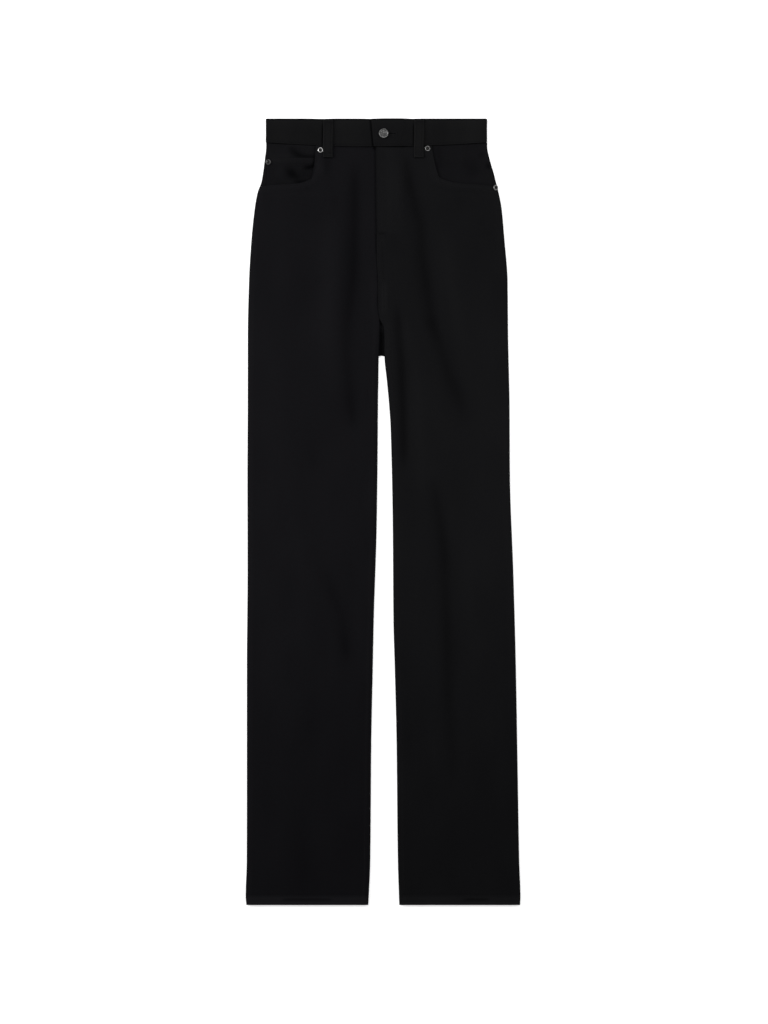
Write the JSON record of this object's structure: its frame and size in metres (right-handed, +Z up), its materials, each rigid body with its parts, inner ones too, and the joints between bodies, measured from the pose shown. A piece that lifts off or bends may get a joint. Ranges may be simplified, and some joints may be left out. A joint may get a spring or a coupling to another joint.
{
  "type": "slim jeans",
  "caption": "Slim straight jeans in black denim, laid flat with the front up, closed at the waist with a metal shank button.",
  "frame": {"origin": "on the surface that the jeans lie on, under the middle of their outline", "axes": "+X to the wearer's left, +Y from the hems to the waist, +Z up from the surface, out of the front"},
  "size_m": [0.3914, 1.12, 0.0108],
  "materials": {
    "black_denim": "black cotton twill, matt, with a faint slanting rib",
    "waistband_denim": "black cotton twill in two layers, matt, edge stitched",
    "pocket_denim": "black cotton twill, matt, in the shade of the pocket mouth",
    "aged_nickel": "aged grey nickel, satin, with a stippled cap",
    "dark_nickel": "dark aged nickel, satin"
  },
  "bodies": {
    "root": {"front_right": "black_denim", "front_left": "black_denim", "back_right": "black_denim", "back_left": "black_denim", "yoke_right": "black_denim", "yoke_left": "black_denim", "waistband": "waistband_denim", "pocket_facing_right": "pocket_denim", "pocket_facing_left": "pocket_denim", "coin_pocket": "black_denim", "back_pocket_right": "black_denim", "back_pocket_left": "black_denim", "belt_loop_front_right": "black_denim", "belt_loop_front_left": "black_denim", "belt_loop_back_right": "black_denim", "belt_loop_back_centre": "black_denim", "belt_loop_back_left": "black_denim", "button": "aged_nickel", "rivet_mouth_right": "aged_nickel", "rivet_mouth_left": "aged_nickel", "rivet_coin_pocket": "dark_nickel", "rivet_side_left": "dark_nickel"}
  },
  "joints": []
}
